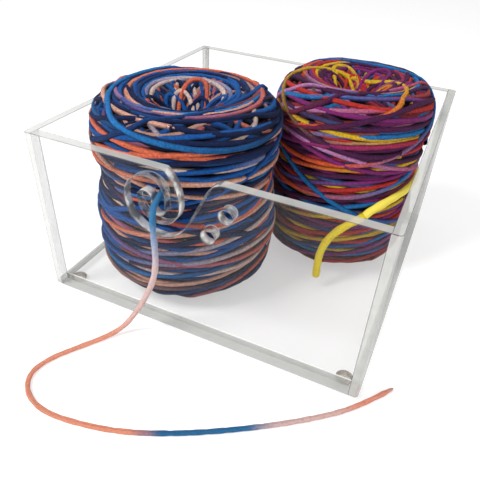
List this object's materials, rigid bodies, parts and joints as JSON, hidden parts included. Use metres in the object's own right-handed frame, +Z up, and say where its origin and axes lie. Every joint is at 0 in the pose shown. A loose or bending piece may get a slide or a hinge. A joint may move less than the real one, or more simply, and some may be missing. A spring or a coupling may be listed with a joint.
{
  "type": "yarn bowl",
  "caption": "Clear square open-top yarn bowl with a spiral yarn slot and guide holes in its front wall, holding lift-out yarn cakes with a strand drawn through the slot.",
  "frame": {"origin": "on the table, under the middle of the box", "axes": "+X to the right seen from the slotted front, +Y to the back, +Z up"},
  "size_m": [0.217, 0.2794, 0.1251],
  "materials": {
    "clear_acrylic": "clear polished",
    "clear_bumper": "clear soft",
    "blue_yarn": "soft wool, royal blue, coral and peach",
    "rainbow_yarn": "soft wool, plum, red, orange, yellow and blue",
    "working_yarn": "soft wool, blue to pale pink to coral",
    "yellow_yarn": "soft wool, yellow"
  },
  "bodies": {
    "bowl": {"base_panel": "clear_acrylic", "front_panel": "clear_acrylic", "back_panel": "clear_acrylic", "left_panel": "clear_acrylic", "right_panel": "clear_acrylic", "foot_front_left": "clear_bumper", "foot_front_right": "clear_bumper", "foot_back_left": "clear_bumper", "foot_back_right": "clear_bumper", "working_strand": "working_yarn"},
    "blue_cake": {"blue_yarn_cake": "blue_yarn"},
    "rainbow_cake": {"rainbow_yarn_cake": "rainbow_yarn", "loose_yarn_end": "yellow_yarn"}
  },
  "joints": [
    {"name": "blue_cake_lift", "type": "slide", "parent": "bowl", "child": "blue_cake", "axis": [0, 0, 1], "range_m": [0, 0.15]},
    {"name": "rainbow_cake_lift", "type": "slide", "parent": "bowl", "child": "rainbow_cake", "axis": [0, 0, 1], "range_m": [0, 0.15]}
  ]
}
